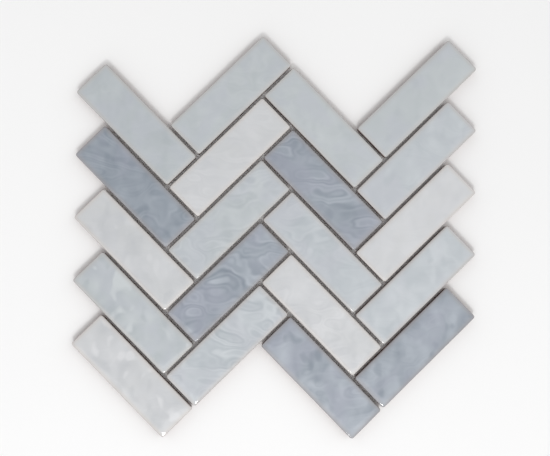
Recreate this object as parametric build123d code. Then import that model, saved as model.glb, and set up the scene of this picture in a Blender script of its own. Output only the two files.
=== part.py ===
from build123d import *
import math
import os

# A mosaic sheet of glazed ceramic tiles laid in herringbone. The tiles of one column lie side by
# side, each a step further down, and the tiles of the next column lie across their ends, so all of
# them are at 45 degrees to the sheet. They are glued, glazed face up, to a fibreglass mesh of two
# layers of yarn that run with the tiles. The joints between the tiles are open.
#
# The origin is under the middle of the sheet, on the surface that it lies on. +X runs across the
# columns to the right, +Y runs up the rows, and +Z comes out of the glazed faces.

# Layout of the sheet, in millimetres
columns = 4
rows = 5
tile_length = 98.4
tile_width = 31.4
joint = 2.1             # open gap between neighbouring tiles

# Section of a tile
tile_thickness = 8.0    # from the back to the middle of the glazed face
face_crown = 0.4        # how far the face falls from its middle line to its long edges
edge_round = 1.3        # rolled edge between the face and the sides
corner_round = 1.8      # corners of the outline
side_draft = 1.5        # degrees by which the sides lean in towards the back

# Keys pressed into the back of a tile, which the glue fills
key_count = 3
key_width = 4.5
key_pitch = 8.5
key_depth = 0.6
key_end_land = 9.0      # flat land between the end of a key and the end of the tile

# Mesh
yarn_pitch = 5.6
yarn_width = 0.9
yarn_thickness = 0.25
mesh_inset = 3.0        # how far the mesh stays inside the outline of the sheet

# Sizes that follow from those above
step = tile_width + joint       # from one tile of a column to the next
reach = tile_length + joint     # from one end of a tile to the far side of the joint at its other end
mesh_top = 2 * yarn_thickness
face_edge_height = tile_thickness - face_crown

# Every place on the sheet is given along two diagonals: "down" runs down to the right, with the
# tiles of the first column, and "up" runs up to the right, with those of the second.


def cell(column, row):
    """Return where a tile and half of its joints lie: down_low, down_high, up_low, up_high."""
    pair, slopes_up = divmod(column, 2)
    if slopes_up:
        down_low = (pair + 1) * reach + (row - 1) * step
        up_low = pair * reach - (row - 1) * step
        return down_low, down_low + step, up_low, up_low + reach
    down_low = pair * reach + row * step
    up_low = pair * reach - row * step
    return down_low, down_low + reach, up_low, up_low + step


cells = {(column, row): cell(column, row) for column in range(columns) for row in range(rows)}
down_ranges = [(down_low, down_high) for down_low, down_high, _, _ in cells.values()]
up_ranges = [(up_low, up_high) for _, _, up_low, up_high in cells.values()]
left = min(down[0] + up[0] for down, up in zip(down_ranges, up_ranges))
right = max(down[1] + up[1] for down, up in zip(down_ranges, up_ranges))
bottom = min(up[0] - down[1] for down, up in zip(down_ranges, up_ranges))
top = max(up[1] - down[0] for down, up in zip(down_ranges, up_ranges))
middle_down = (left + right - bottom - top) / 4
middle_up = (left + right + bottom + top) / 4


def on_sheet(down, up, height=0.0):
    """Return the point of the part's own frame at a place given along the two diagonals."""
    from_middle_down = down - middle_down
    from_middle_up = up - middle_up
    x = (from_middle_down + from_middle_up) / math.sqrt(2)
    y = (from_middle_up - from_middle_down) / math.sqrt(2)
    return Vector(x, y, height)


def rolled_section(half_width, side_height, top_line):
    """Return a cross-section whose sides lean in towards its base, with rolled corners at the top."""
    foot = half_width - side_height * math.tan(math.radians(side_draft))
    left_side = Line((-half_width, side_height), (-foot, 0))
    base = Line((-foot, 0), (foot, 0))
    right_side = Line((foot, 0), (half_width, side_height))
    section = make_face([left_side, base, right_side, top_line])
    top_corners = section.vertices().sort_by(Axis.Y)[-2:]
    return fillet(top_corners, edge_round)


def tile_body():
    """Return the body of a tile along X: a crowned bar and a flat one crossed, in a rounded outline."""
    half_length = tile_length / 2
    half_width = tile_width / 2
    crowned_top = ThreePointArc(
        (half_width, face_edge_height), (0, tile_thickness), (-half_width, face_edge_height)
    )
    flat_top = Line((half_length, tile_thickness), (-half_length, tile_thickness))
    across = rolled_section(half_width, face_edge_height, crowned_top)
    along = rolled_section(half_length, tile_thickness, flat_top)
    lengthwise_bar = extrude(Plane.YZ * across, amount=half_length, both=True)
    crosswise_bar = extrude(Plane.XZ * along, amount=half_width, both=True)
    outline = extrude(RectangleRounded(tile_length, tile_width, corner_round), amount=tile_thickness)
    return lengthwise_bar & crosswise_bar & outline


def tile():
    """Return one fired tile with the keys in its back."""
    key_length = tile_length - 2 * key_end_land
    key = Box(key_length, key_width, key_depth, align=(Align.CENTER, Align.CENTER, Align.MIN))
    first_key = -(key_count - 1) / 2 * key_pitch
    keys = [Pos(0, first_key + index * key_pitch, 0) * key for index in range(key_count)]
    return tile_body() - keys


def crossed(place, bands, spans):
    """Return the lowest and highest end of the cells that a line at a place crosses, or None."""
    ends = [span for band, span in zip(bands, spans) if band[0] <= place <= band[1]]
    if not ends:
        return None
    return min(end[0] for end in ends), max(end[1] for end in ends)


def yarn_run(place, bands, spans):
    """Return where the yarn at a place starts and ends, inside the outline on every side, or None."""
    runs = [crossed(place + shift, bands, spans) for shift in (-mesh_inset, 0, mesh_inset)]
    if None in runs:
        return None
    start = max(run[0] for run in runs) + mesh_inset
    end = min(run[1] for run in runs) - mesh_inset
    return start, end


def yarn_layer(bands, spans, middle):
    """Return place, start and end of each yarn of a layer, evenly spaced about the sheet's middle."""
    lowest = min(low for low, _ in bands)
    highest = max(high for _, high in bands)
    first = math.floor((lowest - middle) / yarn_pitch)
    last = math.ceil((highest - middle) / yarn_pitch)
    places = [middle + (index + 0.5) * yarn_pitch for index in range(first, last)]
    runs = [(place, yarn_run(place, bands, spans)) for place in places]
    return [(place, run[0], run[1]) for place, run in runs if run]


def yarn(start, end, angle, height):
    """Return one flat yarn between two points of the sheet."""
    length = (end - start).length
    strip = Box(length, yarn_width, yarn_thickness, align=(Align.CENTER, Align.CENTER, Align.MIN))
    centre = (start + end) / 2
    return Pos(centre.X, centre.Y, height) * Rot(0, 0, angle) * strip


def mesh_warp():
    """Return the lower yarns of the mesh, which run down to the right."""
    strips = [
        yarn(on_sheet(start, place), on_sheet(end, place), -45, 0)
        for place, start, end in yarn_layer(up_ranges, down_ranges, middle_up)
    ]
    return Compound(children=strips)


def mesh_weft():
    """Return the upper yarns of the mesh, which lie on the lower ones and run up to the right."""
    strips = [
        yarn(on_sheet(place, start), on_sheet(place, end), 45, yarn_thickness)
        for place, start, end in yarn_layer(down_ranges, up_ranges, middle_down)
    ]
    return Compound(children=strips)


def write(name, shape):
    """Write one node of the part."""
    export_step(shape, f"parts/{name}.step")


os.makedirs("parts", exist_ok=True)

one_tile = tile()
for (column, row), (down_low, down_high, up_low, up_high) in cells.items():
    centre = on_sheet((down_low + down_high) / 2, (up_low + up_high) / 2, mesh_top)
    angle = 45 if column % 2 else -45
    write(f"tile_column_{column + 1}_row_{row + 1}", Pos(centre) * Rot(0, 0, angle) * one_tile)

write("mesh_warp", mesh_warp())
write("mesh_weft", mesh_weft())
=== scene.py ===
import math

import bpy
import numpy as np
from mathutils import Matrix, Vector, noise


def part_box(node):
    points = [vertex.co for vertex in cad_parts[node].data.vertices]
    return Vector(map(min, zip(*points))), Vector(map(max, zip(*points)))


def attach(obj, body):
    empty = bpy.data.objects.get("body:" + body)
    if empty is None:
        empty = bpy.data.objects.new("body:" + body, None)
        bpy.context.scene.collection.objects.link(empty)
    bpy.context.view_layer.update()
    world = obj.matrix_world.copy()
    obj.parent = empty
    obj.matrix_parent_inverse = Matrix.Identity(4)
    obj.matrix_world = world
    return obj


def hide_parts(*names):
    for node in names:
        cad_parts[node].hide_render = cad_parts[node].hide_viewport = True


# Dresses a herringbone sheet of glazed ceramic tiles: each tile gets its rippled, rolled-edge glaze
# over a bisque body, and the fibreglass mesh under them gets its woven yarns. All sizes are metres.

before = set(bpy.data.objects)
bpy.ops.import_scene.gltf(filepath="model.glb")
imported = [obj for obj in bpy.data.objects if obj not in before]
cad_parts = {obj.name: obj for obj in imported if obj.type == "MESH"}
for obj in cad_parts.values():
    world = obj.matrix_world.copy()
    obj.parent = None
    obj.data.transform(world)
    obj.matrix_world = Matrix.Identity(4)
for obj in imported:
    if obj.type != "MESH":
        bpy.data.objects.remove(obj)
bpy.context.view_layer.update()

MM = 0.001

# Tiles, as in the part
TILE_LENGTH = 98.4 * MM
TILE_WIDTH = 31.4 * MM
CORNER_ROUND = 1.8 * MM
SIDE_DRAFT = math.radians(1.5)
TILE_TURN = math.radians(45)            # between a tile and the sheet's sides
KEY_COUNT = 3
KEY_WIDTH = 4.5 * MM
KEY_PITCH = 8.5 * MM
KEY_DEPTH = 0.6 * MM
KEY_END_LAND = 9.0 * MM
KEY_WALL = 0.1 * MM                     # the walls of a key lean this much
KEY_END = TILE_LENGTH / 2 - KEY_END_LAND
KEY_MIDDLES = [(index - (KEY_COUNT - 1) / 2) * KEY_PITCH for index in range(KEY_COUNT)]

# Relief of a glazed face
SIDE_ROLL = (1.15 * MM, 0.95 * MM)      # width and drop of the rolled edge along the sides
END_ROLL = (0.75 * MM, 0.75 * MM)       # and at the ends
ROLL_NEAREST = 0.05 * MM                # a side or an end counts as at least this far away
SIDE_CUSHION = (6.0 * MM, 0.42 * MM)    # width and drop of the face's gentle fall along the sides
END_CUSHION = (9.5 * MM, 0.72 * MM)     # and at the ends
RIPPLE = 0.1 * MM                       # height of the ripples in the glaze
RIPPLE_LENGTH = 16.0 * MM
RIPPLE_FADE = (0.2 * MM, 3.0 * MM)      # inside the outline, where they start and are full height
LONG_RIPPLES = 1.25                     # strength of the ripples of that length
SHORT_RIPPLES = 0.35                    # and of those half as long
FOLD = 7.0 * MM                         # how far the ripples are folded sideways, like agate
FOLD_LENGTH = 24.0 * MM
OUTLINE_WAVE = 0.14 * MM                # wander of the outline from a straight line
OUTLINE_WAVE_LENGTH = 22.0 * MM
GLAZE_SKIRT = 2.2 * MM                  # how far the glaze runs down the sides
SKIRT_WAVE = 0.9 * MM                   # how far its lower edge wanders from that
SKIRT_WAVE_LENGTH = 6.0 * MM
SKIRT_SPAN = 4.0 * MM                   # height of a side over which its skirt value rises to 1
# Near the outline this rim is also darkened toward the bisque, partly thin glaze and partly painted
# shade
RIM_WIDTH = 4.0 * MM                    # how far inside its outline the glaze is thin and warm

# Seeds of the tiles, and the shifts that keep the noises of one tile apart
SEED_BASE = 0.5
SEED_STEP = 3.7
NOISE_SLANT = 0.37
FOLD_X_SHIFT = 11.0
FOLD_Y_SHIFT = 23.0
SHORT_RIPPLE_SHIFT = 31.0
WANDER_X_SHIFT = 51.0
WANDER_Y_SHIFT = 67.0
SKIRT_SHIFT = 83.0
CALM_SHIFT = 40.0
TINT_SHIFT = 80.0
EYE_SHIFT = 120.0

# Folded bands of the glaze. Scales are features per metre, and stops are (noise, strength) pairs.
BAND_SCALE = 38.0
BAND_STRETCH = (0.85, 1.25, 1.0)
BAND_SHIFT = 9.0 * MM                   # the bands follow how the noise changes over this distance
BAND_DETAIL = 1.5
BAND_DISTORTION = 0.35
BAND_TURNS = 26.0
BAND_STRENGTH = 0.24
FINE_BAND_TURNS = 72.0
FINE_BAND_STRENGTH = 0.19
CALM_SCALE = 30.0                       # patches where the bands are faint
CALM_DISTORTION = 0.5
CALM_STOPS = ((0.38, 0.35), (0.58, 1.0))

# Soft blotches, dark eyes, pale spots and lilac tint of the glaze
SOFT_DETAIL = 1.0                       # of the blotches, the eyes and the calm patches
CLOUD_SCALE = 58.0
CLOUD_STRETCH = (1.1, 0.9, 1.0)
CLOUD_DISTORTION = 0.6
CLOUD_STRENGTH = 1.75
EYE_SCALE = 80.0
EYE_DISTORTION = 0.15
EYE_STOPS = ((0.27, 0.75), (0.39, 0.0))
SPOT_STOPS = ((0.6, 0.0), (0.69, 0.85))
TINT_SCALE = 38.0
TINT_DETAIL = 2.0
TINT_DISTORTION = 0.8
TINT_STOPS = ((0.44, 0.0), (0.62, 0.45))

# How warm the glaze is over the rim, which goes from 0 at the outline to 1 inside it, and how far
# it is darkened toward the bisque there: partly thin glaze, partly painted shade on the steep
# outline and down the glazed sides, whose rim is 0
WARM_STOPS = ((0.0, 0.85), (0.4, 0.5), (1.0, 0.0))
THIN_GLAZE_AND_PAINTED_SHADE_STOPS = ((0.0, 0.3), (0.13, 0.05), (0.6, 0.0))

# Skirt values between which the glaze gives way to bare bisque, and the gloss of each
GLAZE_ENDS = 0.48
BISQUE_STARTS = 0.52
GLAZE_ROUGHNESS = 0.07
GLAZE_IOR = 1.52
SIDE_ROUGHNESS = 0.85
BACK_ROUGHNESS = 0.9

# Grain of the bisque, finer on the sides than on the back
GRAIN_STOPS = (0.3, 0.7)                # noise of the dark and of the light grain, on the yarns too
DARK_GRAIN = 0.8                        # times the colour of the bisque
SIDE_GRAIN_SCALE = 900.0
SIDE_GRAIN_DETAIL = 4.0
SIDE_LIGHT_GRAIN = 1.2
BACK_GRAIN_SCALE = 700.0
BACK_GRAIN_DETAIL = 5.0
BACK_LIGHT_GRAIN = 1.25
BACK_GRAIN_HEIGHT = 0.2 * MM
BACK_GRAIN_STRENGTH = 0.5

# Spacing of the points of a tile's mesh. The rim rows are in millimetres inside the outline.
RIM_ROWS = [0.0, 0.04, 0.13, 0.27, 0.45, 0.68, 0.95, 1.25, 1.6, 2.0, 2.5]
FACE_SPACING = 1.0 * MM
SIDE_ROWS = 8
TILE_CREASE = math.radians(50)          # edges sharper than this stay sharp

# Yarns of the mesh
YARN_PITCH = 5.6 * MM
YARN_WIDTH = 0.9 * MM
YARN_THICKNESS = 0.24 * MM
MESH_THICKNESS = 0.5 * MM
YARN_SIDES = 8
RINGS_PER_PITCH = 4
YARN_PINCH = 0.12                       # share of its width that a yarn loses at each crossing
YARN_CREASE = math.radians(60)
YARN_SHADOW = (0.62, 0.62, 0.60)
YARN_LIGHT = (0.82, 0.82, 0.80)
YARN_ROUGHNESS = 0.45
STRAND_SCALE = 2500.0
STRAND_DETAIL = 2.0
STRAND_HEIGHT = 0.05 * MM
STRAND_STRENGTH = 0.4

# Shades of the tiles, from the top row down in each column
SHADES = {
    1: ["light", "dark", "white", "light", "white"],
    2: ["light", "white", "light", "dark", "pale"],
    3: ["light", "dark", "pale", "white", "dark"],
    4: ["light", "pale", "white", "pale", "dark"],
}
SLOTS = {
    "white": "glaze_white",
    "pale": "glaze_pale_blue",
    "light": "glaze_light_blue",
    "dark": "glaze_grey_blue",
}
# How strongly the glaze of each tile is marbled with folded bands, in the same order
MARBLED = {
    1: [0.2, 0.35, 0.2, 0.15, 0.15],
    2: [0.25, 0.35, 0.75, 0.95, 1.1],
    3: [0.15, 0.75, 0.5, 0.5, 0.4],
    4: [0.1, 0.2, 0.1, 0.15, 0.2],
}
# How strongly it is clouded with soft blotches
CLOUDED = {
    1: [0.4, 0.5, 0.5, 1.0, 0.8],
    2: [0.4, 0.25, 0.4, 0.4, 0.4],
    3: [0.35, 0.35, 0.35, 0.5, 0.85],
    4: [0.3, 0.45, 0.35, 0.75, 0.75],
}
# How strongly it has pale spots
SPOTTED = {
    1: [0.1, 0.15, 0.4, 1.0, 0.9],
    2: [0.1, 0.1, 0.2, 0.1, 0.2],
    3: [0.1, 0.1, 0.2, 0.1, 0.3],
    4: [0.1, 0.2, 0.1, 0.4, 0.3],
}
# How far each tile is lighter or darker than its shade: partly the tile's own tone, partly painted
# light and shade, with the tiles of the left column set darker and those to the right lighter as
# the light falls across the sheet
TONES_AND_PAINTED_LIGHT = {
    1: [-0.16, -0.11, -0.04, -0.12, -0.04],
    2: [0.0, 0.1, 0.03, 0.08, -0.04],
    3: [0.07, 0.01, -0.03, 0.12, 0.15],
    4: [0.0, 0.05, 0.15, 0.05, 0.02],
}
FIGURES = {"marbled": MARBLED, "clouded": CLOUDED, "spotted": SPOTTED, "tone": TONES_AND_PAINTED_LIGHT}

# For each shade the colour of the thick glaze, and of the thin glaze
GLAZE_COLOURS = {
    "white": ((0.465, 0.48, 0.50), (0.67, 0.675, 0.69)),
    "pale": ((0.395, 0.43, 0.46), (0.585, 0.615, 0.64)),
    "light": ((0.395, 0.43, 0.45), (0.57, 0.60, 0.615)),
    "dark": ((0.195, 0.228, 0.27), (0.43, 0.466, 0.515)),
}
LILAC = {
    "white": (0.57, 0.58, 0.585),
    "pale": (0.50, 0.51, 0.555),
    "light": (0.475, 0.495, 0.545),
    "dark": (0.33, 0.342, 0.41),
}
# Glaze over the rolled edge, where it is thin and the warm body shows through
WARM_RIM = {
    "white": (0.60, 0.57, 0.545),
    "pale": (0.52, 0.50, 0.485),
    "light": (0.50, 0.49, 0.475),
    "dark": (0.32, 0.315, 0.325),
}
BISQUE = (0.19, 0.10, 0.078)

# Camera, found by fitting the photo's joints
FOCAL_PIXELS = 1000.0
PHOTO_WIDTH = 550.0
SENSOR_WIDTH = 36.0                     # millimetres, as Blender takes it
CAMERA_PLACE = Vector((-26.5, -21.9, 763.3)) * MM
CAMERA_LEAN_X = math.radians(1.95)
CAMERA_LEAN_Y = math.radians(2.12)
CAMERA_ROLL = math.radians(-0.79)
CLIP_START = 0.01

# Lights aimed at the middle of the sheet, with their power in watts
SHEET_MIDDLE = Vector((0.0, 0.0, 0.0))
KEY_PLACE = (0.0, -1.0, 1.5)
KEY_SIZE = (0.3, 0.3)
KEY_POWER = 6.7
PANEL_PLACE = (-0.2, -0.8, 1.5)
PANEL_SIZE = (1.6, 0.9)
PANEL_POWER = 5.4

# Floor
FLOOR_REACH = 12.0
FLOOR_TONES = ((0.0, 0.86), (1.0, 0.9))
FLOOR_TONE_SCALE = 3.0
FLOOR_TONE_DETAIL = 2.0
FLOOR_ROUGHNESS = 0.8

# Room around the sheet. Its stops are (place, grey) pairs: place 0 is the horizon past the top left
# of the sheet, 0.5 is straight above, and 1 is the horizon past its bottom right.
ROOM_WAY = (0.75, -0.66, 0.0)
ROOM_STOPS = (
    (0.0, 0.7),
    (0.12, 0.7),
    (0.32, 0.33),
    (0.46, 0.33),
    (0.52, 0.65),
    (0.58, 1.0),
    (0.8, 1.0),
    (0.9, 0.4),
)
ROOM_STRENGTH = 1.16


def node_tree(name):
    """Start a material and return it, its nodes, its links and its main shader."""
    material = bpy.data.materials.new(name)
    material.use_nodes = True
    nodes = material.node_tree.nodes
    return material, nodes, material.node_tree.links, nodes["Principled BSDF"]


def noise_field(
    nodes, links, scale, detail, distortion=0.0, seed=None, stretch=(1, 1, 1), shift=(0, 0, 0)
):
    """Add a noise texture in the object's own space and return its factor."""
    place = nodes.new("ShaderNodeTexCoord")
    mapping = nodes.new("ShaderNodeMapping")
    mapping.inputs["Scale"].default_value = stretch
    mapping.inputs["Location"].default_value = shift
    texture = nodes.new("ShaderNodeTexNoise")
    texture.inputs["Scale"].default_value = scale
    texture.inputs["Detail"].default_value = detail
    texture.inputs["Distortion"].default_value = distortion
    links.new(place.outputs["Object"], mapping.inputs["Vector"])
    links.new(mapping.outputs["Vector"], texture.inputs["Vector"])
    if seed is not None:
        texture.noise_dimensions = "4D"
        links.new(seed, texture.inputs["W"])
    return texture.outputs["Fac"]


def calculate(nodes, links, operation, first, second=None):
    """Add a sum on one or two values or sockets and return its result."""
    made = nodes.new("ShaderNodeMath")
    made.operation = operation
    for socket, value in zip(made.inputs, (first, second)):
        if isinstance(value, float):
            socket.default_value = value
        elif value is not None:
            links.new(value, socket)
    return made.outputs["Value"]


def ramp(nodes, links, value, stops):
    """Add a colour ramp over a value and return its colour."""
    made = nodes.new("ShaderNodeValToRGB")
    elements = made.color_ramp.elements
    while len(elements) < len(stops):
        elements.new(0.5)
    for element, (place, colour) in zip(elements, stops):
        element.position = place
        element.color = (*colour, 1.0)
    links.new(value, made.inputs["Fac"])
    return made.outputs["Color"]


def level(nodes, links, value, stops):
    """Add a grey ramp over a value and return its level."""
    return ramp(nodes, links, value, [(place, (grey, grey, grey)) for place, grey in stops])


def mix(nodes, links, factor, first, second):
    """Mix two colours by a factor and return the result."""
    made = nodes.new("ShaderNodeMix")
    made.data_type = "RGBA"
    links.new(factor, made.inputs["Factor"])
    for socket, colour in ((made.inputs["A"], first), (made.inputs["B"], second)):
        if isinstance(colour, tuple):
            socket.default_value = (*colour, 1.0)
        else:
            links.new(colour, socket)
    return made.outputs["Result"]


def attribute(nodes, name):
    """Read a per-point value of the mesh."""
    made = nodes.new("ShaderNodeAttribute")
    made.attribute_name = name
    return made.outputs["Fac"]


def bump(nodes, links, height, distance, strength, shader):
    """Raise a shader's surface by a height map."""
    made = nodes.new("ShaderNodeBump")
    made.inputs["Strength"].default_value = strength
    made.inputs["Distance"].default_value = distance
    links.new(height, made.inputs["Height"])
    links.new(made.outputs["Normal"], shader.inputs["Normal"])


def bands(nodes, links, field, turns, strength):
    """Return bands that go light and dark as a field rises."""
    wave = calculate(nodes, links, "SINE", calculate(nodes, links, "MULTIPLY", field, turns))
    return calculate(nodes, links, "MULTIPLY", wave, strength)


def marbling(nodes, links, seed):
    """Return how far the folded bands swing the glaze from its mean, about -0.5 to 0.5."""
    shape = (BAND_SCALE, BAND_DETAIL, BAND_DISTORTION, seed, BAND_STRETCH)
    here = noise_field(nodes, links, *shape)
    beside = noise_field(nodes, links, *shape, (0, BAND_SHIFT, 0))
    field = calculate(nodes, links, "SUBTRACT", beside, here)
    wide = bands(nodes, links, field, BAND_TURNS, BAND_STRENGTH)
    fine = bands(nodes, links, field, FINE_BAND_TURNS, FINE_BAND_STRENGTH)
    both = calculate(nodes, links, "ADD", wide, fine)
    calm_seed = calculate(nodes, links, "ADD", seed, CALM_SHIFT)
    calm = noise_field(nodes, links, CALM_SCALE, SOFT_DETAIL, CALM_DISTORTION, calm_seed)
    alive = level(nodes, links, calm, CALM_STOPS)
    strength = calculate(nodes, links, "MULTIPLY", attribute(nodes, "marbled"), alive)
    return calculate(nodes, links, "MULTIPLY", both, strength)


def clouding(nodes, links, seed):
    """Return how far soft blotches swing the glaze, and where its dark eyes and pale spots are."""
    strength = attribute(nodes, "clouded")
    field = noise_field(
        nodes, links, CLOUD_SCALE, SOFT_DETAIL, CLOUD_DISTORTION, seed, CLOUD_STRETCH
    )
    centred = calculate(nodes, links, "SUBTRACT", field, 0.5)
    scaled = calculate(nodes, links, "MULTIPLY", centred, CLOUD_STRENGTH)
    swing = calculate(nodes, links, "MULTIPLY", scaled, strength)
    eye_seed = calculate(nodes, links, "ADD", seed, EYE_SHIFT)
    eye_field = noise_field(
        nodes, links, EYE_SCALE, SOFT_DETAIL, EYE_DISTORTION, eye_seed, CLOUD_STRETCH
    )
    eyes = level(nodes, links, eye_field, EYE_STOPS)
    spots = level(nodes, links, eye_field, SPOT_STOPS)
    return (
        swing,
        calculate(nodes, links, "MULTIPLY", eyes, strength),
        calculate(nodes, links, "MULTIPLY", spots, attribute(nodes, "spotted")),
    )


def glaze_colour(nodes, links, shade):
    """Return the colour of a shade's glaze away from the rim."""
    thick, thin = GLAZE_COLOURS[shade]
    seed = attribute(nodes, "seed")
    swing, eyes, spots = clouding(nodes, links, seed)
    swing = calculate(nodes, links, "ADD", swing, marbling(nodes, links, seed))
    # Per-tile tone, partly painted light and shade across the sheet
    swing = calculate(nodes, links, "ADD", swing, attribute(nodes, "tone"))
    body = mix(nodes, links, calculate(nodes, links, "ADD", swing, 0.5), thick, thin)
    tint_seed = calculate(nodes, links, "ADD", seed, TINT_SHIFT)
    tint = noise_field(nodes, links, TINT_SCALE, TINT_DETAIL, TINT_DISTORTION, tint_seed)
    tinted = mix(nodes, links, level(nodes, links, tint, TINT_STOPS), body, LILAC[shade])
    tinted = mix(nodes, links, eyes, tinted, thick)
    return mix(nodes, links, spots, tinted, thin)


def bisque_colour(nodes, links, scale, detail, light_grain):
    """Return the grain of bare bisque, and its colour."""
    grain = noise_field(nodes, links, scale, detail)
    dark_place, light_place = GRAIN_STOPS
    colour = ramp(nodes, links, grain, [
        (dark_place, tuple(DARK_GRAIN * channel for channel in BISQUE)),
        (light_place, tuple(light_grain * channel for channel in BISQUE)),
    ])
    return grain, colour


def glaze_material(shade):
    """Marbled glossy glaze that thins at the rim, with painted shade darkening its steep outline
    and glazed sides, and bare bisque below its lower edge.
    """
    material, nodes, links, shader = node_tree(SLOTS[shade])
    glaze = glaze_colour(nodes, links, shade)
    rim = attribute(nodes, "rim")
    warmed = mix(nodes, links, level(nodes, links, rim, WARM_STOPS), glaze, WARM_RIM[shade])
    # Painted shade: the steep outline and the glazed sides are darkened toward the bisque, together
    # with the thin glaze there
    thinned_and_shaded = mix(nodes, links, level(nodes, links, rim, THIN_GLAZE_AND_PAINTED_SHADE_STOPS), warmed, BISQUE)
    skirt = attribute(nodes, "skirt")
    bare = level(nodes, links, skirt, ((GLAZE_ENDS, 0.0), (BISQUE_STARTS, 1.0)))
    _, clay = bisque_colour(nodes, links, SIDE_GRAIN_SCALE, SIDE_GRAIN_DETAIL, SIDE_LIGHT_GRAIN)
    links.new(mix(nodes, links, bare, thinned_and_shaded, clay), shader.inputs["Base Color"])
    gloss_stops = ((GLAZE_ENDS, GLAZE_ROUGHNESS), (BISQUE_STARTS, SIDE_ROUGHNESS))
    links.new(level(nodes, links, skirt, gloss_stops), shader.inputs["Roughness"])
    shader.inputs["IOR"].default_value = GLAZE_IOR
    return material


def bisque_material():
    """Unglazed back of a tile."""
    material, nodes, links, shader = node_tree("bisque_back")
    grain, colour = bisque_colour(
        nodes, links, BACK_GRAIN_SCALE, BACK_GRAIN_DETAIL, BACK_LIGHT_GRAIN
    )
    links.new(colour, shader.inputs["Base Color"])
    shader.inputs["Roughness"].default_value = BACK_ROUGHNESS
    bump(nodes, links, grain, BACK_GRAIN_HEIGHT, BACK_GRAIN_STRENGTH, shader)
    return material


def yarn_material():
    """Coated white glass yarn with fine strands."""
    material, nodes, links, shader = node_tree("fibreglass_mesh")
    strands = noise_field(nodes, links, STRAND_SCALE, STRAND_DETAIL)
    dark_place, light_place = GRAIN_STOPS
    colour = ramp(nodes, links, strands, [(dark_place, YARN_SHADOW), (light_place, YARN_LIGHT)])
    links.new(colour, shader.inputs["Base Color"])
    shader.inputs["Roughness"].default_value = YARN_ROUGHNESS
    bump(nodes, links, strands, STRAND_HEIGHT, STRAND_STRENGTH, shader)
    return material


def show_instead(mesh, node):
    """Show a mesh in place of a node of the part."""
    piece = bpy.data.objects.new(mesh.name, mesh)
    bpy.context.collection.objects.link(piece)
    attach(piece, "root")
    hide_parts(node)


def smooth_noise(x, y, seed, length):
    """Smooth noise from -1 to 1 at a point, with features of a given length."""
    return noise.noise(Vector((x / length + seed, y / length - seed, seed * NOISE_SLANT)))


def grid_lines(half):
    """Return the places of the grid lines across a tile: close together at the rims."""
    rim = np.array(RIM_ROWS) * MM
    inner = half - rim[-1]
    count = max(2, round(2 * inner / FACE_SPACING))
    middle = np.linspace(-inner, inner, count + 1)[1:-1]
    return np.concatenate([rim - half, middle, (half - rim)[::-1]])


def snapped(lines, edges):
    """Return the grid lines with two of them moved to each edge, for a steep step there."""
    lines = lines.copy()
    for edge in edges:
        before = np.searchsorted(lines, edge) - 1
        lines[before] = edge - KEY_WALL / 2
        lines[before + 1] = edge + KEY_WALL / 2
    return lines


def rounded(x, y):
    """Move a point of the rectangle into its rounded outline, and add its distance inside it."""
    past_x = abs(x) - (TILE_LENGTH / 2 - CORNER_ROUND)
    past_y = abs(y) - (TILE_WIDTH / 2 - CORNER_ROUND)
    if past_x <= 0 or past_y <= 0:
        return x, y, min(TILE_LENGTH / 2 - abs(x), TILE_WIDTH / 2 - abs(y))
    u = past_x / CORNER_ROUND
    v = past_y / CORNER_ROUND
    round_u = u * math.sqrt(1 - v * v / 2)
    round_v = v * math.sqrt(1 - u * u / 2)
    new_x = TILE_LENGTH / 2 - CORNER_ROUND + round_u * CORNER_ROUND
    new_y = TILE_WIDTH / 2 - CORNER_ROUND + round_v * CORNER_ROUND
    inside = CORNER_ROUND * (1 - math.hypot(round_u, round_v))
    return math.copysign(new_x, x), math.copysign(new_y, y), max(0.0, inside)


def clamped(value):
    """Return a value kept between 0 and 1."""
    return min(1.0, max(0.0, value))


def smoothstep(low, high, value):
    """Return 0 below low and 1 above high, with a smooth rise between them."""
    t = clamped((value - low) / (high - low))
    return t * t * (3 - 2 * t)


def ripple(x, y, seed):
    """Height of the glaze's ripples at a point, from about -1 to 1."""
    folded_x = x + smooth_noise(x, y, seed + FOLD_X_SHIFT, FOLD_LENGTH) * FOLD
    folded_y = y + smooth_noise(x, y, seed + FOLD_Y_SHIFT, FOLD_LENGTH) * FOLD
    long_wave = smooth_noise(folded_x, folded_y, seed, RIPPLE_LENGTH)
    short_wave = smooth_noise(folded_x, folded_y, seed + SHORT_RIPPLE_SHIFT, RIPPLE_LENGTH / 2)
    return LONG_RIPPLES * long_wave + SHORT_RIPPLES * short_wave


def roll(x, y, inside):
    """Fall of the rolled edge at a point, a given distance inside the outline."""
    from_side = max(TILE_WIDTH / 2 - abs(y), ROLL_NEAREST)
    from_end = max(TILE_LENGTH / 2 - abs(x), ROLL_NEAREST)
    end_share = from_side ** 2 / (from_side ** 2 + from_end ** 2)
    width, drop = (
        (1 - end_share) * side + end_share * end for side, end in zip(SIDE_ROLL, END_ROLL)
    )
    if inside >= width:
        return 0.0
    t = 1 - inside / width
    return drop * (1 - math.sqrt(max(0.0, 1 - t * t)))


def cushion(x, y):
    """Gentle fall of the face towards its outline."""
    side_width, side_drop = SIDE_CUSHION
    end_width, end_drop = END_CUSHION
    near_side = max(0.0, 1 - (TILE_WIDTH / 2 - abs(y)) / side_width)
    near_end = max(0.0, 1 - (TILE_LENGTH / 2 - abs(x)) / end_width)
    return side_drop * near_side ** 3 + end_drop * near_end ** 3


def key_depth(x, y):
    """Depth of the keys in the back at a point."""
    beside_a_key = all(abs(y - middle) >= KEY_WIDTH / 2 for middle in KEY_MIDDLES)
    if abs(x) > KEY_END or beside_a_key:
        return 0.0
    return KEY_DEPTH


def perimeter(rows, columns):
    """Return the grid places along the outer edge of a grid, in order."""
    bottom = [(i, 0) for i in range(columns - 1)]
    right = [(columns - 1, j) for j in range(rows - 1)]
    top = [(i, rows - 1) for i in range(columns - 1, 0, -1)]
    left = [(0, j) for j in range(rows - 1, 0, -1)]
    return bottom + right + top + left


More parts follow.
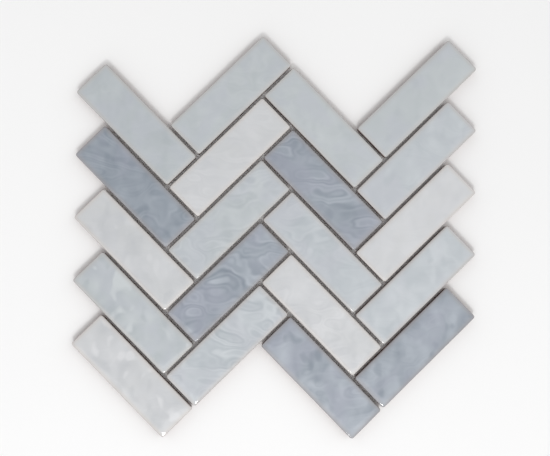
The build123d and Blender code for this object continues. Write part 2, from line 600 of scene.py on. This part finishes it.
class TileShell:
    """Points and faces of one tile, gathered in the tile's own frame and laid over its node."""

    # Material numbers. The glaze's own material turns to bare bisque below the skirt.
    GLAZED = 0
    BACK = 1

    def __init__(self, node, slopes_up, seed):
        low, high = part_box(node)
        self.centre = (low + high) / 2
        self.base = low.z
        self.thickness = high.z - low.z
        self.turn = Matrix.Rotation(TILE_TURN if slopes_up else -TILE_TURN, 2)
        self.seed = seed
        self.foot_x = 1 - self.thickness * math.tan(SIDE_DRAFT) / (TILE_LENGTH / 2)
        self.foot_y = 1 - self.thickness * math.tan(SIDE_DRAFT) / (TILE_WIDTH / 2)
        self.lines_x = grid_lines(TILE_LENGTH / 2)
        self.lines_y = grid_lines(TILE_WIDTH / 2)
        self.points = []
        self.rims = []
        self.skirts = []
        self.quads = []
        self.finishes = []
        face = self.face_points()
        back = self.back_points()
        self.add_sheets(face, back)
        self.add_sides(face, back)

    def add_point(self, x, y, z, rim, skirt):
        """Add a point, moved by the wander of the outline, and return its number."""
        wander_x = smooth_noise(x, y, self.seed + WANDER_X_SHIFT, OUTLINE_WAVE_LENGTH)
        wander_y = smooth_noise(x, y, self.seed + WANDER_Y_SHIFT, OUTLINE_WAVE_LENGTH)
        flat = self.turn @ Vector((x + wander_x * OUTLINE_WAVE, y + wander_y * OUTLINE_WAVE))
        self.points.append((self.centre.x + flat.x, self.centre.y + flat.y, self.base + z))
        self.rims.append(rim)
        self.skirts.append(skirt)
        return len(self.points) - 1

    def add_quad(self, corners, finish):
        """Add a face between four points."""
        self.quads.append(corners)
        self.finishes.append(finish)

    def face_points(self):
        """Add the points of the glazed face and return their numbers by grid place."""
        face = {}
        for i, grid_x in enumerate(self.lines_x):
            for j, grid_y in enumerate(self.lines_y):
                x, y, inside = rounded(grid_x, grid_y)
                fall = roll(x, y, inside) + cushion(x, y)
                rise = RIPPLE * ripple(x, y, self.seed) * smoothstep(*RIPPLE_FADE, inside)
                z = self.thickness - RIPPLE - fall + rise
                face[i, j] = self.add_point(x, y, z, min(1.0, inside / RIM_WIDTH), 0.0)
        return face

    def back_points(self):
        """Add the points of the back with its keys and return their numbers by grid place."""
        key_sides = [middle + side * KEY_WIDTH / 2 for middle in KEY_MIDDLES for side in (-1, 1)]
        back = {}
        for i, grid_x in enumerate(snapped(self.lines_x, (-KEY_END, KEY_END))):
            for j, grid_y in enumerate(snapped(self.lines_y, key_sides)):
                x, y, _ = rounded(grid_x, grid_y)
                z = key_depth(x, y)
                back[i, j] = self.add_point(x * self.foot_x, y * self.foot_y, z, 1.0, 1.0)
        return back

    def add_sheets(self, face, back):
        """Add the faces of the glazed face and of the back."""
        for i in range(len(self.lines_x) - 1):
            for j in range(len(self.lines_y) - 1):
                around = [(i, j), (i + 1, j), (i + 1, j + 1), (i, j + 1)]
                self.add_quad(tuple(face[place] for place in around), self.GLAZED)
                around = [(i, j), (i, j + 1), (i + 1, j + 1), (i + 1, j)]
                self.add_quad(tuple(back[place] for place in around), self.BACK)

    def side_points(self, edge, face, row):
        """Add one row of points round the sides, between the face and the back."""
        share = row / SIDE_ROWS
        scale_x = 1 + (self.foot_x - 1) * share
        scale_y = 1 + (self.foot_y - 1) * share
        loop = []
        for i, j in edge:
            x, y, _ = rounded(self.lines_x[i], self.lines_y[j])
            z = (self.points[face[i, j]][2] - self.base) * (1 - share)
            wave = smooth_noise(x, y, self.seed + SKIRT_SHIFT, SKIRT_WAVE_LENGTH)
            below_glaze = self.thickness - z - GLAZE_SKIRT - SKIRT_WAVE * wave
            skirt = clamped(0.5 + below_glaze / SKIRT_SPAN)
            loop.append(self.add_point(x * scale_x, y * scale_y, z, 0.0, skirt))
        return loop

    def add_sides(self, face, back):
        """Add the sides, which lean in from the face to the back."""
        edge = perimeter(len(self.lines_y), len(self.lines_x))
        loops = [[face[place] for place in edge]]
        loops += [self.side_points(edge, face, row) for row in range(1, SIDE_ROWS)]
        loops.append([back[place] for place in edge])
        for upper, lower in zip(loops, loops[1:]):
            for k in range(len(edge)):
                after = (k + 1) % len(edge)
                self.add_quad((upper[k], lower[k], lower[after], upper[after]), self.GLAZED)


def tile_piece(node, slopes_up, seed, shade, figure, glazes, back_material):
    """Make one tile over its node, with the per-point values that its glaze reads."""
    shell = TileShell(node, slopes_up, seed)
    mesh = bpy.data.meshes.new(node + "_glazed")
    mesh.from_pydata(shell.points, [], shell.quads)
    values = {"rim": shell.rims, "skirt": shell.skirts}
    for title, value in {"seed": seed, **figure}.items():
        values[title] = [value] * len(shell.points)
    for title, per_point in values.items():
        layer = mesh.attributes.new(title, "FLOAT", "POINT")
        layer.data.foreach_set("value", per_point)
    mesh.materials.append(glazes[shade])
    mesh.materials.append(back_material)
    mesh.polygons.foreach_set("material_index", shell.finishes)
    mesh.shade_smooth()
    mesh.set_sharp_from_angle(angle=TILE_CREASE)
    mesh.update()
    show_instead(mesh, node)


def tiles():
    """Make all the tiles."""
    glazes = {shade: glaze_material(shade) for shade in SLOTS}
    back_material = bisque_material()
    number = 0
    for column, shades in SHADES.items():
        for row, shade in enumerate(shades, start=1):
            number += 1
            seed = SEED_STEP * number + SEED_BASE
            figure = {title: values[column][row - 1] for title, values in FIGURES.items()}
            node = f"tile_column_{column}_row_{row}"
            tile_piece(node, column % 2 == 0, seed, shade, figure, glazes, back_material)


def yarn_lines(node, along, across):
    """Return place, start and end of each yarn of a mesh layer, measured on its node."""
    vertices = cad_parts[node].data.vertices
    points = np.array([tuple(vertex.co) for vertex in vertices])[:, :2]
    places = points @ np.array(across)
    reaches = points @ np.array(along)
    numbers = np.round((places - places.min()) / YARN_PITCH).astype(int)
    lines = []
    for number in np.unique(numbers):
        mine = numbers == number
        place = (places[mine].min() + places[mine].max()) / 2
        lines.append((place, reaches[mine].min(), reaches[mine].max()))
    return lines


def woven_yarn(line, along, across, first_crossing, starts_over, points, faces):
    """Add one flat yarn that goes over and under the yarns it crosses, with closed ends."""
    place, start, end = line
    swing = (MESH_THICKNESS - YARN_THICKNESS) / 2
    if not starts_over:
        swing = -swing
    tallest = YARN_THICKNESS / 2 / math.cos(math.pi / YARN_SIDES)
    count = round((end - start) / YARN_PITCH * RINGS_PER_PITCH)
    first_point = len(points)
    for ring in range(count + 1):
        reach = start + (end - start) * ring / count
        lift = math.cos(math.pi * (reach - first_crossing) / YARN_PITCH)
        height = MESH_THICKNESS / 2 + swing * lift
        half_width = YARN_WIDTH / 2 * (1 - YARN_PINCH * lift ** 2)
        for side in range(YARN_SIDES):
            angle = 2 * math.pi * (side + 0.5) / YARN_SIDES
            aside = place + half_width * math.cos(angle)
            x = along[0] * reach + across[0] * aside
            y = along[1] * reach + across[1] * aside
            points.append((x, y, height + tallest * math.sin(angle)))
    for ring in range(count):
        here = first_point + ring * YARN_SIDES
        there = here + YARN_SIDES
        for side in range(YARN_SIDES):
            after = (side + 1) % YARN_SIDES
            faces.append((here + side, there + side, there + after, here + after))
    last = first_point + count * YARN_SIDES
    faces.append(tuple(first_point + side for side in range(YARN_SIDES)))
    faces.append(tuple(last + side for side in reversed(range(YARN_SIDES))))


def mesh_layers():
    """Weave the two layers of the fibreglass mesh, in place of their straight yarns."""
    half_root = math.sqrt(0.5)
    down = (half_root, -half_root)
    up = (half_root, half_root)
    warp_lines = yarn_lines("mesh_warp", down, up)
    weft_lines = yarn_lines("mesh_weft", up, down)
    material = yarn_material()
    for node, lines, along, across, crossed_lines, first_starts_over in (
        ("mesh_warp", warp_lines, down, up, weft_lines, True),
        ("mesh_weft", weft_lines, up, down, warp_lines, False),
    ):
        first_crossing = crossed_lines[0][0]
        points = []
        faces = []
        for number, line in enumerate(lines):
            starts_over = first_starts_over == (number % 2 == 0)
            woven_yarn(line, along, across, first_crossing, starts_over, points, faces)
        mesh = bpy.data.meshes.new(node + "_woven")
        mesh.from_pydata(points, [], faces)
        mesh.materials.append(material)
        mesh.shade_smooth()
        mesh.set_sharp_from_angle(angle=YARN_CREASE)
        mesh.update()
        show_instead(mesh, node)


def camera():
    """Place the camera where the photo was taken from."""
    forward = Vector((math.sin(CAMERA_LEAN_X), math.sin(CAMERA_LEAN_Y), -1.0)).normalized()
    up_hint = Vector((math.sin(CAMERA_ROLL), math.cos(CAMERA_ROLL), 0.0))
    right = forward.cross(up_hint).normalized()
    up = right.cross(forward)
    data = bpy.data.cameras.new("camera")
    data.sensor_width = SENSOR_WIDTH
    data.lens = FOCAL_PIXELS / PHOTO_WIDTH * SENSOR_WIDTH
    data.clip_start = CLIP_START
    made = bpy.data.objects.new("camera", data)
    bpy.context.collection.objects.link(made)
    turn = Matrix((right, up, -forward)).transposed().to_4x4()
    made.matrix_world = Matrix.Translation(CAMERA_PLACE) @ turn
    bpy.context.scene.camera = made


def area_light(name, place, size, power):
    """Add a soft rectangular light aimed at the middle of the sheet."""
    data = bpy.data.lights.new(name, "AREA")
    data.shape = "RECTANGLE"
    data.size, data.size_y = size
    data.energy = power
    made = bpy.data.objects.new(name, data)
    bpy.context.collection.objects.link(made)
    made.location = place
    made.rotation_euler = (SHEET_MIDDLE - Vector(place)).to_track_quat("-Z", "Y").to_euler()
    made.visible_camera = False


def floor():
    """Plain pale floor."""
    reach = FLOOR_REACH
    corners = [(-reach, -reach, 0), (reach, -reach, 0), (reach, reach, 0), (-reach, reach, 0)]
    mesh = bpy.data.meshes.new("floor")
    mesh.from_pydata(corners, [], [(0, 1, 2, 3)])
    material, nodes, links, shader = node_tree("floor_paint")
    tone = noise_field(nodes, links, FLOOR_TONE_SCALE, FLOOR_TONE_DETAIL)
    links.new(level(nodes, links, tone, FLOOR_TONES), shader.inputs["Base Color"])
    shader.inputs["Roughness"].default_value = FLOOR_ROUGHNESS
    mesh.materials.append(material)
    made = bpy.data.objects.new("floor", mesh)
    bpy.context.collection.objects.link(made)


def room():
    """Grey room with a broad bright zone above the bottom right of the sheet."""
    world = bpy.data.worlds.new("room")
    world.use_nodes = True
    nodes = world.node_tree.nodes
    links = world.node_tree.links
    place = nodes.new("ShaderNodeTexCoord")
    along = nodes.new("ShaderNodeVectorMath")
    along.operation = "DOT_PRODUCT"
    along.inputs[1].default_value = ROOM_WAY
    links.new(place.outputs["Generated"], along.inputs[0])
    lean = nodes.new("ShaderNodeMapRange")
    lean.inputs["From Min"].default_value = -1.0
    lean.inputs["From Max"].default_value = 1.0
    links.new(along.outputs["Value"], lean.inputs["Value"])
    background = nodes["Background"]
    links.new(level(nodes, links, lean.outputs["Result"], ROOM_STOPS), background.inputs["Color"])
    background.inputs["Strength"].default_value = ROOM_STRENGTH
    bpy.context.scene.world = world


def studio():
    """Pale floor, soft lights and a grey room."""
    floor()
    area_light("key", KEY_PLACE, KEY_SIZE, KEY_POWER)
    area_light("panel", PANEL_PLACE, PANEL_SIZE, PANEL_POWER)
    room()
    bpy.context.scene.view_settings.view_transform = "Standard"


camera()
studio()
tiles()
mesh_layers()
